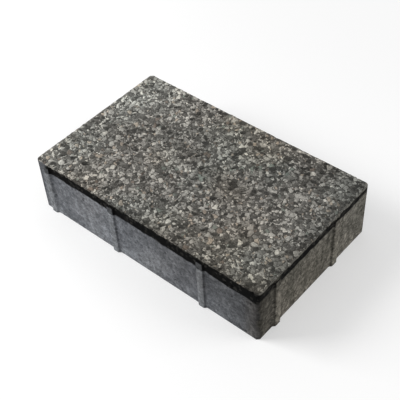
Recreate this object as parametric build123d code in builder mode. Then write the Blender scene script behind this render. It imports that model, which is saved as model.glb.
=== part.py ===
"""Large rectangular concrete paving block with spacer ribs on its sides.

Millimetres, +Z up. The origin is in the middle of the bed face, +X runs along the long side,
and the wearing face is on top, as the block is laid.
"""
import os

from build123d import *

# The grid that one block fills in the paving: each side takes half of the joint
module_length = 260.0
module_width = 160.0
thickness = 60.0
joint_width = 4.0

# Moulded edges of the body
corner_radius = 4.0
arris_radius = 1.5

# Spacer ribs, which hold the joint open until it is filled with sand
rib_base_width = 10.0
rib_crest_width = 6.0
rib_top_margin = 0.5
rib_runout = 3.0

# Rib centres, from the left end of a side as it is seen from outside
long_rib_first = 14.0
long_rib_second = 95.0
long_rib_third = 196.0
short_rib_first = 24.0
short_rib_second = 106.0

# The body inside the joint, and what the ribs take from it
body_length = module_length - joint_width
body_width = module_width - joint_width
rib_projection = joint_width / 2
rib_height = thickness - arris_radius - rib_top_margin


def places_with_room(places, side_length):
    """The rib centres that stay clear of the rounded corner at the side's right end."""
    last_place = side_length - corner_radius - rib_base_width / 2
    return [place for place in places if place <= last_place]


# Each side's plane starts at its lower left corner and faces outwards. A block turned end for
# end is the same block, and the ribs of two neighbours pass beside each other.
half_length = body_length / 2
half_width = body_width / 2
front_side = Plane(origin=(-half_length, -half_width, 0), x_dir=(1, 0, 0), z_dir=(0, -1, 0))
right_side = Plane(origin=(half_length, -half_width, 0), x_dir=(0, 1, 0), z_dir=(1, 0, 0))
back_side = Plane(origin=(half_length, half_width, 0), x_dir=(-1, 0, 0), z_dir=(0, 1, 0))
left_side = Plane(origin=(-half_length, half_width, 0), x_dir=(0, -1, 0), z_dir=(-1, 0, 0))
long_places = places_with_room([long_rib_first, long_rib_second, long_rib_third], body_length)
short_places = places_with_room([short_rib_first, short_rib_second], body_width)
rib_stations = [(side, place) for side in (front_side, back_side) for place in long_places]
rib_stations += [(side, place) for side in (right_side, left_side) for place in short_places]

with BuildPart() as paving_block:
    # Body: a rounded rectangle pressed to its full height, with a softened arris round the top
    with BuildSketch():
        RectangleRounded(body_length, body_width, corner_radius)
    extrude(amount=thickness)
    wearing_face = paving_block.faces().sort_by(Axis.Z)[-1]
    fillet(wearing_face.edges(), radius=arris_radius)

    # Ribs: tapered in plan so that the mould lifts off, and run out into the side below the arris
    for side, place in rib_stations:
        with BuildSketch(side):
            with Locations((place, 0)):
                Rectangle(rib_base_width, rib_height, align=(Align.CENTER, Align.MIN))
        with BuildSketch(side.offset(rib_projection)):
            with Locations((place, 0)):
                Rectangle(rib_crest_width, rib_height - rib_runout, align=(Align.CENTER, Align.MIN))
        loft()

paving_block.part.label = "paving_block"

os.makedirs("parts", exist_ok=True)
export_step(paving_block.part, "parts/paving_block.step")
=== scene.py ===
import math

import bpy
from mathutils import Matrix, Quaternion, Vector


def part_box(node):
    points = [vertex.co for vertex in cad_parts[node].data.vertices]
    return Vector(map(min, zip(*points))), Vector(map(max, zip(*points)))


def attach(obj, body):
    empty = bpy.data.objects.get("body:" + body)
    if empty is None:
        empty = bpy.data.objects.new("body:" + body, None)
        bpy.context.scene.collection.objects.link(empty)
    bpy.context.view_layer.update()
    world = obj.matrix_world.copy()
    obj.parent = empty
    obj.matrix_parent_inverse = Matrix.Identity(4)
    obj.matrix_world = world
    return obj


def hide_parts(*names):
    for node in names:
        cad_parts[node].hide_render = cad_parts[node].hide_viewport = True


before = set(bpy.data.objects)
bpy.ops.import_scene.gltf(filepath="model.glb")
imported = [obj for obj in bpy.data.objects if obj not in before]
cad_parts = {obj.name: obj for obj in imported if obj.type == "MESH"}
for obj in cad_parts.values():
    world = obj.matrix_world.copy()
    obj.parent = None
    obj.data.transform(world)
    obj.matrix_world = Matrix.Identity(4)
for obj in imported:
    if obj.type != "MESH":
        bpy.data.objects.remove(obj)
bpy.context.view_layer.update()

# Block: its cast form
# One piece of pressed concrete, a dark face mix with crushed stone over a plain grey backing mix.
# The form is the mould's, taken from the solid, as an even skin fine enough to carry the relief.
skin_pitch = 0.0007
weld_distance = 0.00001
rib_projection = 0.002

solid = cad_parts["paving_block"]
block_low, block_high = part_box("paving_block")
half_length = (block_high.x - block_low.x) / 2 - rib_projection
half_width = (block_high.y - block_low.y) / 2 - rib_projection
block_top = block_high.z

bpy.ops.object.select_all(action="DESELECT")
block = bpy.data.objects.new("cast_block", solid.data.copy())
block.data.materials.clear()
bpy.context.scene.collection.objects.link(block)
bpy.context.view_layer.objects.active = block
block.select_set(True)
bpy.ops.object.mode_set(mode="EDIT")
bpy.ops.mesh.select_all(action="SELECT")
bpy.ops.mesh.remove_doubles(threshold=weld_distance)
bpy.ops.object.mode_set(mode="OBJECT")
skin = block.modifiers.new("even_skin", "REMESH")
skin.mode = "VOXEL"
skin.voxel_size = skin_pitch
bpy.ops.object.modifier_apply(modifier=skin.name)


# Block: its relief
# Stone grains stand up from the paste that was washed back on the wearing face. The cast sides have air
# pits, drag marks from the mould and a slight wave, and the arris and the bed edge are nibbled.
def add_node(tree, kind, inputs, **settings):
    """Adds a node, sets its options, and gives each input a value or a link."""
    node = tree.nodes.new(kind)
    for name, value in settings.items():
        setattr(node, name, value)
    for key, value in inputs.items():
        if isinstance(value, bpy.types.NodeSocket):
            tree.links.new(value, node.inputs[key])
        else:
            node.inputs[key].default_value = value
    return node


def calc(tree, operation, *values):
    """One step of arithmetic on numbers and sockets."""
    return add_node(tree, "ShaderNodeMath", dict(enumerate(values)), operation=operation).outputs[0]


def times(tree, first, *others):
    """Product of numbers and sockets."""
    for other in others:
        first = calc(tree, "MULTIPLY", first, other)
    return first


def added(tree, first, *others):
    """Sum of numbers and sockets."""
    for other in others:
        first = calc(tree, "ADD", first, other)
    return first


def rest_of(tree, share):
    """What a share leaves of one."""
    return calc(tree, "SUBTRACT", 1.0, share)


def step(tree, value, low, high, start=0.0, end=1.0):
    """Goes smoothly from start to end while value goes from low to high."""
    inputs = {"Value": value, "From Min": low, "From Max": high, "To Min": start, "To Max": end}
    return add_node(tree, "ShaderNodeMapRange", inputs, interpolation_type="SMOOTHSTEP").outputs[0]


def mix(tree, factor, under, over):
    """Number that goes from under to over as factor goes from 0 to 1."""
    return add_node(tree, "ShaderNodeMix", {0: factor, 2: under, 3: over}).outputs[0]


def split(tree, vector):
    """The three parts of a vector or a colour."""
    return add_node(tree, "ShaderNodeSeparateXYZ", {0: vector}).outputs


def vector_calc(tree, operation, first, second):
    """One step of arithmetic on vectors, such as their sum, product or dot product."""
    node = add_node(tree, "ShaderNodeVectorMath", {0: first, 1: second}, operation=operation)
    return node.outputs["Value" if operation == "DOT_PRODUCT" else "Vector"]


def noise(tree, position, size, detail=2.0, dimensions="3D"):
    """Smooth noise from 0 to 1, with swells about as large as size."""
    inputs = {"Vector": position, "Scale": 1.0 / size, "Detail": detail}
    return add_node(tree, "ShaderNodeTexNoise", inputs, noise_dimensions=dimensions).outputs


def cells(tree, position, size, feature, dimensions):
    """Cells about as large as size, for grains and pits."""
    inputs = {"Vector": position, "Scale": 1.0 / size}
    settings = {"feature": feature, "voronoi_dimensions": dimensions}
    return add_node(tree, "ShaderNodeTexVoronoi", inputs, **settings).outputs


def stone_grains(tree, position):
    """Crushed stone in plan: where grains are, how high they stand, and two random numbers for each."""
    # Size, share of places that hold a grain, and the least and greatest height, from sand up to chips
    sieves = [
        (0.0016, 0.75, 0.10, 0.35),
        (0.0028, 0.60, 0.30, 0.70),
        (0.0046, 0.32, 0.55, 0.90),
    ]
    jag_size = 0.0022
    jag_reach = 0.0014
    facet_lean = 2.0
    # Paste between grains and the bevel of their edges, in shares of a grain's size: below 0 they touch
    gap_patch_size = 0.0035
    least_gap = -0.03
    widest_gap = 0.13
    gap_blur = 0.06
    bevel = 0.25
    jag = noise(tree, position, jag_size, 3.0, "2D")["Color"]
    jag = vector_calc(tree, "MULTIPLY", jag, (jag_reach, jag_reach, 0.0))
    bent = vector_calc(tree, "ADD", position, jag)
    gap_patch = noise(tree, position, gap_patch_size, 3.0, "2D")[0]
    gap = step(tree, gap_patch, 0.38, 0.62, least_gap, widest_gap)
    gap_end = added(tree, gap, gap_blur)
    grain, height, tone, shine = 0.0, 0.0, 0.5, 0.5
    for size, share, lowest, highest in sieves:
        chip = cells(tree, bent, size, "F1", "2D")
        presence, own_tone, lift = split(tree, chip["Color"])
        edge = cells(tree, bent, size, "DISTANCE_TO_EDGE", "2D")["Distance"]
        present = calc(tree, "LESS_THAN", presence, share)
        # The broken face of each chip leans its own way
        lean = vector_calc(tree, "SUBTRACT", chip["Color"], (0.5, 0.5, 0.5))
        lean = vector_calc(tree, "MULTIPLY", lean, (facet_lean / size, facet_lean / size, 0.0))
        from_middle = vector_calc(tree, "SUBTRACT", bent, chip["Position"])
        tilt = vector_calc(tree, "DOT_PRODUCT", from_middle, lean)
        own_height = added(tree, mix(tree, lift, lowest, highest), times(tree, tilt, highest))
        # A place that holds a chip holds nothing smaller, and paste lies round each one
        grain = mix(tree, present, grain, step(tree, edge, gap, gap_end))
        height = mix(tree, present, height, times(tree, own_height, step(tree, edge, 0.0, bevel)))
        tone = mix(tree, present, tone, own_tone)
        shine = mix(tree, present, shine, lift)
    height = calc(tree, "MINIMUM", height, 1.0)
    return {"grain": grain, "height": height, "tone": tone, "shine": shine}


def air_pits(tree, position):
    """Holes left by air against the mould, from 0 at the rim to 1 at the bottom."""
    pit_spacing = 0.007
    pit_share = 0.55
    # Radii in shares of the spacing
    smallest_pit = 0.07
    largest_pit = 0.26
    pit_cells = cells(tree, position, pit_spacing, "F1", "3D")
    chance, width, _ = split(tree, pit_cells["Color"])
    radius = mix(tree, times(tree, width, width), smallest_pit, largest_pit)
    hole = rest_of(tree, calc(tree, "DIVIDE", pit_cells["Distance"], radius))
    return times(tree, step(tree, hole, 0.0, 0.7), calc(tree, "LESS_THAN", chance, pit_share))


washed_depth = 0.0012
face_wave_size = 0.05
face_wave = 0.0003
side_wave_size = 0.06
side_wave = 0.0003
drag_width = 0.003
drag_depth = 0.00012
drag_stretch = (1.0, 1.0, 0.05)
sand_size = 0.0025
sand_depth = 0.00012
pit_depth = 0.0009
nibble_size = 0.006
nibble_depth = 0.0018
bed_edge_height = 0.003
arris_height = 0.0015

relief = bpy.data.node_groups.new("cast_relief", "GeometryNodeTree")
relief.interface.new_socket("Geometry", in_out="INPUT", socket_type="NodeSocketGeometry")
relief.interface.new_socket("Geometry", in_out="OUTPUT", socket_type="NodeSocketGeometry")
cast = relief.nodes.new("NodeGroupInput").outputs[0]
place = relief.nodes.new("GeometryNodeInputPosition").outputs[0]
facing = relief.nodes.new("GeometryNodeInputNormal").outputs[0]
up = split(relief, facing)[2]
level = split(relief, place)[2]
arris_foot = block_top - arris_height
above_ribs = step(relief, level, arris_foot - 0.0005, arris_foot + 0.0001)
on_face = times(relief, step(relief, up, 0.25, 0.6), above_ribs)
on_sides = rest_of(relief, step(relief, calc(relief, "ABSOLUTE", up), 0.3, 0.8))
turned_up = step(relief, up, 0.05, 0.4)
not_yet_flat = step(relief, up, 0.75, 0.98, 1.0, 0.0)
on_arris = times(relief, turned_up, not_yet_flat, above_ribs)

washed = times(relief, rest_of(relief, stone_grains(relief, place)["height"]), washed_depth)
face_swell = times(relief, noise(relief, place, face_wave_size)[0], face_wave)
face_sink = times(relief, added(relief, washed, face_swell), on_face)

side_swell = times(relief, noise(relief, place, side_wave_size)[0], side_wave)
drag_place = vector_calc(relief, "MULTIPLY", place, drag_stretch)
drag = times(relief, noise(relief, drag_place, drag_width)[0], drag_depth)
sand = times(relief, noise(relief, place, sand_size, 3.0)[0], sand_depth)
pit = times(relief, air_pits(relief, place), pit_depth)
side_sink = times(relief, added(relief, side_swell, drag, sand, pit), on_sides)

crumble = step(relief, noise(relief, place, nibble_size, 3.0)[0], 0.5, 0.75)
on_bed_edge = step(relief, level, 0.0, bed_edge_height, 1.0, 0.0)
on_bed_edge = times(relief, on_bed_edge, step(relief, up, -0.9, -0.3))
on_edges = calc(relief, "MAXIMUM", on_arris, on_bed_edge)
nibble = times(relief, on_edges, crumble, nibble_depth)

inwards = times(relief, added(relief, face_sink, side_sink, nibble), -1.0)
shift_inputs = {0: facing, "Scale": inwards}
shift = add_node(relief, "ShaderNodeVectorMath", shift_inputs, operation="SCALE").outputs[0]
cast = add_node(relief, "GeometryNodeSetPosition", {"Geometry": cast, "Offset": shift}).outputs[0]
for name, mask in {"wearing_face": on_face, "arris": on_arris}.items():
    inputs = {"Geometry": cast, "Name": name, "Value": mask}
    cast = add_node(relief, "GeometryNodeStoreNamedAttribute", inputs).outputs[0]
relief.links.new(cast, relief.nodes.new("NodeGroupOutput").inputs[0])

carving = block.modifiers.new("cast_relief", "NODES")
carving.node_group = relief
bpy.ops.object.modifier_apply(modifier=carving.name)

# Flat stretches need few faces, so the skin is thinned there and stays fine on the grains
skin_triangles = 190000
block.data.calc_loop_triangles()
thinning = block.modifiers.new("thinning", "DECIMATE")
thinning.ratio = skin_triangles / len(block.data.loop_triangles)
bpy.ops.object.modifier_apply(modifier=thinning.name)

# The bed face stays flat, so its many small faces become one
bed_flatness = 0.999
crease_angle = math.radians(50)
flat_down = [face.normal.z < -bed_flatness for face in block.data.polygons]
bpy.context.tool_settings.mesh_select_mode = (False, False, True)
bpy.ops.object.mode_set(mode="EDIT")
bpy.ops.mesh.select_all(action="DESELECT")
bpy.ops.object.mode_set(mode="OBJECT")
block.data.polygons.foreach_set("select", flat_down)
bpy.ops.object.mode_set(mode="EDIT")
bpy.ops.mesh.dissolve_faces()
bpy.ops.object.mode_set(mode="OBJECT")
bpy.ops.object.shade_smooth_by_angle(angle=crease_angle)


# Block: its concrete
# Matt cement paste, dark in the face mix and blue-grey in the backing, with stone grains of many greys,
# cream and tan on top. Rib crests are rubbed pale and painted paler still as a highlight, and the ends are
# browner than the long sides.
def shade(red, green, blue):
    """Linear colour of a shade given as it shows on a screen, from 0 to 255."""
    parts = [part / 255 for part in (red, green, blue)]
    linear = [part / 12.92 if part <= 0.04045 else ((part + 0.055) / 1.055) ** 2.4 for part in parts]
    return (*linear, 1.0)


def tint(tree, factor, under, over, blend="MIX"):
    """Colour that goes from under to over as factor goes from 0 to 1."""
    inputs = {0: factor, 6: under, 7: over}
    return add_node(tree, "ShaderNodeMix", inputs, data_type="RGBA", blend_type=blend).outputs[2]


def dimmed(tree, colour, *levels):
    """A colour times one or more grey levels."""
    for grey in levels:
        colour = tint(tree, 1.0, colour, grey, "MULTIPLY")
    return colour


def swing(tree, pattern, low, high):
    """Goes from low to high as smooth noise goes from its usual least to its usual greatest."""
    return step(tree, pattern, 0.3, 0.7, low, high)


# Each grain shade goes with the random number from which it is used
grain_shades = {
    0.00: shade(66, 65, 62),
    0.20: shade(97, 95, 91),
    0.40: shade(125, 123, 118),
    0.58: shade(149, 146, 140),
    0.75: shade(169, 166, 159),
    0.88: shade(185, 181, 172),
    0.93: shade(155, 145, 133),
    0.965: shade(114, 105, 97),
    0.985: shade(118, 122, 115),
}
paste_shade = shade(84, 82, 78)
band_black = shade(4, 4, 4)
band_grey = shade(40, 39, 37)
side_light = shade(128, 130, 134)
side_dark = shade(98, 100, 104)
end_light = shade(126, 122, 114)
end_dark = shade(90, 88, 81)
# Shades of the rubbed rib crests, which also stand in for a painted highlight
long_rub_highlight = shade(142, 144, 146)
end_rub_highlight = shade(148, 143, 133)
# Shade of the worn rim at the ends, which is also a painted highlight
worn_rim_highlight_shade = shade(168, 165, 158)
warm_cast = (1.14, 1.0, 0.84, 1.0)
cool_cast = (0.9, 1.0, 1.02, 1.0)

concrete = bpy.data.materials.new("cast_concrete")
concrete.use_nodes = True
tree = concrete.node_tree
tree.nodes.clear()
here = tree.nodes.new("ShaderNodeTexCoord").outputs["Object"]
along, across, above = split(tree, here)
wearing = add_node(tree, "ShaderNodeAttribute", {}, attribute_name="wearing_face").outputs["Fac"]
arris = add_node(tree, "ShaderNodeAttribute", {}, attribute_name="arris").outputs["Fac"]

# Wearing face: each grain its own shade, flecked with crystals, in a grey paste. Painted light lies over
# the whole, palest at the left end and falling off to the right, and it has a dark uneven margin at the
# right end.
crystal_size = 0.0011
drift_size = 0.09
clump_size = 0.010
margin_wander = 0.012
grains = stone_grains(tree, here)
grain_ramp = add_node(tree, "ShaderNodeValToRGB", {0: grains["tone"]})
grain_ramp.color_ramp.interpolation = "CONSTANT"
stops = grain_ramp.color_ramp.elements
while len(stops) < len(grain_shades):
    stops.new(1.0)
for stop, (start, colour) in zip(stops, grain_shades.items()):
    stop.position = start
    stop.color = colour
crystals = noise(tree, here, crystal_size, 3.0)[0]
paste_colour = dimmed(tree, paste_shade, step(tree, crystals, 0.35, 0.65, 0.65, 1.45))
grain_colour = dimmed(tree, grain_ramp.outputs[0], swing(tree, crystals, 0.7, 1.3))
face_colour = tint(tree, grains["grain"], paste_colour, grain_colour)
warm_drift, cool_drift, light_drift = split(tree, noise(tree, here, drift_size)["Color"])
warm_share = step(tree, warm_drift, 0.42, 0.68, 0.0, 0.4)
cool_share = step(tree, cool_drift, 0.42, 0.68, 0.0, 0.5)
face_colour = tint(tree, warm_share, face_colour, warm_cast, "MULTIPLY")
face_colour = tint(tree, cool_share, face_colour, cool_cast, "MULTIPLY")
drift_level = swing(tree, light_drift, 0.85, 1.15)
clump = noise(tree, here, clump_size)[0]
clump_level = swing(tree, clump, 0.8, 1.2)
# Painted light: the face is lit most at its left end, on the key lamp's side, and less towards the right
face_painted_light = step(tree, along, -half_length, half_length, 1.18, 0.925)
left_end_painted_light = step(tree, along, -half_length + 0.010, -half_length + 0.050, 1.15, 1.0)
margin = added(tree, along, times(tree, clump, margin_wander))
dark_end = step(tree, margin, half_length - 0.009, half_length + 0.002, 1.0, 0.7)
face_colour = dimmed(tree, face_colour, drift_level, clump_level, face_painted_light, left_end_painted_light, dark_end)

# Where a place lies on the sides. Places along a side run from its left end, as it is seen from outside,
# so that opposite sides are alike.
bed_film = 0.0004
corner_blend = 0.003
corner_wander = 0.002
corner_wander_size = 0.008
corner_reach = 0.009
outside_length = calc(tree, "SUBTRACT", calc(tree, "ABSOLUTE", along), half_length)
outside_width = calc(tree, "SUBTRACT", calc(tree, "ABSOLUTE", across), half_width)
long_place = times(tree, along, calc(tree, "SIGN", across), -1.0)
end_place = times(tree, across, calc(tree, "SIGN", along))
bed = step(tree, above, bed_film / 4, bed_film, 1.0, 0.0)
off_bed = rest_of(tree, bed)
wander = swing(tree, noise(tree, here, corner_wander_size)[0], -corner_wander, corner_wander)
past_corner = added(tree, calc(tree, "SUBTRACT", outside_length, outside_width), wander)
end_side = times(tree, step(tree, past_corner, -corner_blend, corner_blend), off_bed)
long_side = rest_of(tree, end_side)
proud = calc(tree, "MAXIMUM", outside_length, outside_width)
near_corner = calc(tree, "MINIMUM", outside_length, outside_width)
crest = step(tree, proud, rib_projection * 0.5, rib_projection * 0.75)
flank = times(tree, step(tree, proud, -0.0001, 0.0003), rest_of(tree, crest))
corner = times(tree, step(tree, near_corner, -corner_reach, -0.001), off_bed)
left_end = step(tree, long_place, -half_length + 0.010, -half_length + 0.016, 1.0, 0.0)
left_end = times(tree, left_end, long_side)

# Sides: clouded and streaked by the mould, with pale rubbed rib crests that also carry a painted highlight.
# Painted light falls off along the long side from its left end, with painted shade over its right part, the
# feet are painted lighter, the long side is lighter and darker by stretches, and the end is darker at its
# left, up to the first rib.
mottle_size = 0.022
streak_width = 0.006
streak_stretch = (1.0, 1.0, 0.08)
shaded_height = 0.045
mottle = noise(tree, here, mottle_size, 4.0)[0]
streak_place = vector_calc(tree, "MULTIPLY", here, streak_stretch)
streak = noise(tree, streak_place, streak_width, 3.0)[0]
streak_share = mix(tree, end_side, 0.35, 0.55)
cloud = step(tree, mix(tree, streak_share, mottle, streak), 0.32, 0.68)
# Painted light falls off from the long side's left end and its foot is painted lighter; painted shade
# darkens its right
long_painted_light = step(tree, long_place, -half_length, half_length, 1.12, 0.85)
long_foot_light = step(tree, above, 0.0, shaded_height, 0.99, 0.9)
patch_start = step(tree, long_place, -0.070, -0.048, 1.0, 1.15)
patch_end = step(tree, long_place, -0.020, -0.002, 1.0, 0.87)
long_painted_shade_right = step(tree, long_place, 0.045, 0.115, 1.0, 0.72)
long_colour = tint(tree, cloud, side_dark, side_light)
long_colour = dimmed(tree, long_colour, long_painted_light, long_foot_light, patch_start, patch_end, long_painted_shade_right)
end_left_dark = step(tree, end_place, -half_width + 0.019, -half_width + 0.025, 0.5, 1.0)
end_colour = dimmed(tree, tint(tree, cloud, end_dark, end_light), end_left_dark)
side_colour = tint(tree, end_side, long_colour, end_colour)
bed_colour = tint(tree, step(tree, mottle, 0.32, 0.68), side_dark, side_light)
side_colour = tint(tree, bed, side_colour, bed_colour)
# Rib crests: rubbed pale, and painted paler as a highlight
rub_and_highlight = times(tree, crest, mix(tree, end_side, 0.45, 0.3))
rub_and_highlight_colour = tint(tree, end_side, long_rub_highlight, end_rub_highlight)
side_colour = tint(tree, rub_and_highlight, side_colour, rub_and_highlight_colour)
# Painted light: every side is painted lighter near its foot and darker higher up
foot_light = step(tree, above, 0.0, shaded_height, 1.12, 0.94)
side_colour = dimmed(tree, side_colour, foot_light)

# Sand and grit show in the sides as specks, more strongly on the ends
speck_size = 0.0012
grit_size = 0.0024
grit_jag_size = 0.002
grit_jag = 0.0016
fleck_size = 0.004
cast_share = 0.3
jag = vector_calc(tree, "MULTIPLY", noise(tree, here, grit_jag_size)["Color"], (grit_jag,) * 3)
grit_place = vector_calc(tree, "ADD", here, jag)
speck = split(tree, cells(tree, grit_place, speck_size, "F1", "3D")["Color"])[0]
grit, band_grain, _ = split(tree, cells(tree, grit_place, grit_size, "F1", "3D")["Color"])
fleck = noise(tree, here, fleck_size, 3.0)[0]
speck_level = step(tree, speck, 0.0, 1.0, 0.78, 1.22)
grit_spread = mix(tree, end_side, 0.12, 0.28)
grit_level = added(tree, 1.0, times(tree, step(tree, grit, 0.0, 1.0, -1.0, 1.0), grit_spread))
fleck_spread = mix(tree, end_side, 0.2, 0.26)
fleck_level = added(tree, 1.0, times(tree, step(tree, fleck, 0.35, 0.65, -1.0, 1.0), fleck_spread))
side_colour = dimmed(tree, side_colour, speck_level, grit_level, fleck_level)
side_colour = tint(tree, times(tree, warm_share, cast_share), side_colour, warm_cast, "MULTIPLY")
side_colour = tint(tree, times(tree, cool_share, cast_share), side_colour, cool_cast, "MULTIPLY")

# Painted shade darkens the rib flanks, the vertical corners and the pits, and the right end of a long side
# is stained
most_painted_shade = 0.6
pit_shade_share = 0.45
painted_flank_shade = step(tree, long_place, -half_length + 0.030, -half_length + 0.060, 0.05, 0.3)
painted_flank_shade = mix(tree, end_side, painted_flank_shade, 0.3)
painted_corner_shade = mix(tree, end_side, 0.45, 0.33)
painted_shade = added(tree, times(tree, flank, painted_flank_shade), times(tree, corner, painted_corner_shade))
painted_shade = calc(tree, "MINIMUM", painted_shade, most_painted_shade)
painted_pit_shade = times(tree, air_pits(tree, here), pit_shade_share)
side_colour = dimmed(tree, side_colour, rest_of(tree, painted_shade), rest_of(tree, painted_pit_shade))
stain = step(tree, long_place, half_length - 0.020, half_length - 0.006, 0.0, 0.5)
stain = times(tree, stain, long_side, off_bed)
side_colour = tint(tree, stain, side_colour, warm_cast, "MULTIPLY")

# A near-black band down from the top edge, left out at the rib crests and at the left of a long side. On
# the ends it starts lower, below a pale rim, wanders and has thin patches.
band_wander_size = 0.014
end_wander = 0.0016
end_rim_height = 0.0024
left_gap = 0.8
band_wander = noise(tree, here, band_wander_size, 3.0)[0]
drop = times(tree, end_side, swing(tree, band_wander, -end_wander, end_wander))
depth = added(tree, calc(tree, "SUBTRACT", block_top, above), drop)
long_foot = step(tree, long_place, -half_length, half_length, 0.0102, 0.0130)
end_foot = step(tree, end_place, -half_width, half_width, 0.0102, 0.0090)
foot = mix(tree, end_side, long_foot, end_foot)
foot = times(tree, foot, step(tree, band_wander, 0.25, 0.75, 0.92, 1.08))
head = times(tree, end_side, end_rim_height)
above_foot = step(tree, calc(tree, "SUBTRACT", depth, foot), -0.0010, 0.0006, 1.0, 0.0)
below_head = step(tree, calc(tree, "SUBTRACT", depth, head), -0.0006, 0.0006)
rib_gap = times(tree, crest, mix(tree, end_side, 0.35, 0.55))
end_gaps = times(tree, end_side, step(tree, band_wander, 0.45, 0.7, 0.0, 0.25))
band_gaps = calc(tree, "MAXIMUM", rib_gap, times(tree, left_end, left_gap))
band_gaps = calc(tree, "MAXIMUM", band_gaps, end_gaps)
band = times(tree, above_foot, below_head, rest_of(tree, band_gaps))
band_colour = tint(tree, step(tree, band_grain, 0.72, 1.0), band_black, band_grey)
side_colour = tint(tree, band, side_colour, band_colour)

# The arris takes some of that near-black band along the long sides, and at the ends is worn to a pale rim
# that is also a painted highlight
arris_band_share = 0.6
arris_banded = times(tree, arris, long_side, rest_of(tree, left_end), arris_band_share)
face_colour = tint(tree, arris_banded, face_colour, band_colour)
worn_rim_highlight = times(tree, arris, end_side, step(tree, band_wander, 0.35, 0.65, 0.6, 0.2))
face_colour = tint(tree, worn_rim_highlight, face_colour, worn_rim_highlight_shade)
colour = tint(tree, wearing, side_colour, face_colour)

# Fine tooth of the paste and the grains, which are less matt than the paste
tooth_size = 0.0007
tooth_height = 0.0006
tooth_strength = 0.7
side_tooth = 0.5
paste_roughness = 0.92
specular_level = 0.06
tooth = noise(tree, here, tooth_size)[0]
tooth = mix(tree, wearing, times(tree, tooth, side_tooth), added(tree, grains["height"], tooth))
bump_inputs = {"Height": tooth, "Distance": tooth_height, "Strength": tooth_strength}
bump = add_node(tree, "ShaderNodeBump", bump_inputs).outputs[0]
grain_roughness = mix(tree, grains["shine"], 0.5, 0.9)
roughness = mix(tree, times(tree, grains["grain"], wearing), paste_roughness, grain_roughness)
surface_inputs = {"Base Color": colour, "Roughness": roughness, "Normal": bump}
surface = add_node(tree, "ShaderNodeBsdfPrincipled", surface_inputs)
surface.inputs["Specular IOR Level"].default_value = specular_level
tree.links.new(surface.outputs[0], tree.nodes.new("ShaderNodeOutputMaterial").inputs[0])
block.data.materials.append(concrete)
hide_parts("paving_block")
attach(block, "root")


# Floor
# A pale seamless studio floor, larger than the view, that takes the block's soft shadow.
def directly_seen(tree):
    """1 where the camera sees a thing, straight or through glass or in a gloss, and 0 for its light."""
    path = tree.nodes.new("ShaderNodeLightPath").outputs
    seen = calc(tree, "MAXIMUM", path["Is Camera Ray"], path["Is Glossy Ray"])
    return calc(tree, "MAXIMUM", seen, path["Is Transmission Ray"])


floor_size = 6.0
floor_shade = 0.72
floor_glow = 0.32
far_glow = 0.68
near_reach = 0.25
far_reach = 1.3
floor_gap = 0.0001
bpy.ops.object.select_all(action="DESELECT")
bpy.ops.mesh.primitive_plane_add(size=floor_size, location=(0.0, 0.0, block_low.z - floor_gap))
floor = bpy.context.object
floor.name = "studio_floor"
floor_paint = bpy.data.materials.new("floor_paint")
floor_paint.use_nodes = True
paint = floor_paint.node_tree
floor_surface = paint.nodes["Principled BSDF"]
floor_place = paint.nodes.new("ShaderNodeTexCoord").outputs["Object"]
reach = calc(paint, "SQRT", vector_calc(paint, "DOT_PRODUCT", floor_place, floor_place))
glow = times(paint, directly_seen(paint), step(paint, reach, near_reach, far_reach, floor_glow, far_glow))
paint.links.new(glow, floor_surface.inputs["Emission Strength"])
floor_surface.inputs["Emission Color"].default_value = (1.0, 1.0, 1.0, 1.0)
floor_surface.inputs["Base Color"].default_value = (floor_shade, floor_shade, floor_shade, 1.0)
floor_surface.inputs["Roughness"].default_value = 1.0
floor_surface.inputs["Specular IOR Level"].default_value = 0.0
floor.data.materials.append(floor_paint)

# Light
# A wide soft key from the left, so that the long side is brighter than the end, a weaker lamp from the
# right for the end, and an even fill.
fill_strength = 0.46
lamp_size = 0.6
lamps = {
    "key_light": (10.0, Vector((-0.75, -0.55, 0.78))),
    "end_light": (3.0, Vector((0.85, 0.45, 0.60))),
}
world = bpy.data.worlds.new("studio")
world.use_nodes = True
sky = world.node_tree
sky_strength = mix(sky, directly_seen(sky), fill_strength, 1.0)
sky.nodes["Background"].inputs["Color"].default_value = (1.0, 1.0, 1.0, 1.0)
sky.links.new(sky_strength, sky.nodes["Background"].inputs["Strength"])
bpy.context.scene.world = world
for name, (power, lamp_place) in lamps.items():
    lamp = bpy.data.objects.new(name, bpy.data.lights.new(name, "AREA"))
    lamp.data.energy = power
    lamp.data.size = lamp_size
    lamp.location = lamp_place
    lamp.rotation_mode = "QUATERNION"
    lamp.rotation_quaternion = lamp_place.to_track_quat("Z", "Y")
    bpy.context.scene.collection.objects.link(lamp)

# Camera
# It looks down on the block's front corner from the photograph's side, turned straight at the block.
camera_place = Vector((0.380, -0.405, 0.587))
camera_aim = Vector((0.0, 0.0, 0.022))
camera_roll = math.radians(-3.9)
camera_lens = 78.0
camera_sensor = 36.0
camera = bpy.data.objects.new("camera", bpy.data.cameras.new("camera"))
camera.data.lens = camera_lens
camera.data.sensor_width = camera_sensor
camera.location = camera_place
camera.rotation_mode = "QUATERNION"
aimed = (camera_aim - camera_place).to_track_quat("-Z", "Y")
camera.rotation_quaternion = aimed @ Quaternion((0.0, 0.0, 1.0), camera_roll)
bpy.context.scene.collection.objects.link(camera)
bpy.context.scene.camera = camera
bpy.context.scene.view_settings.view_transform = "Standard"
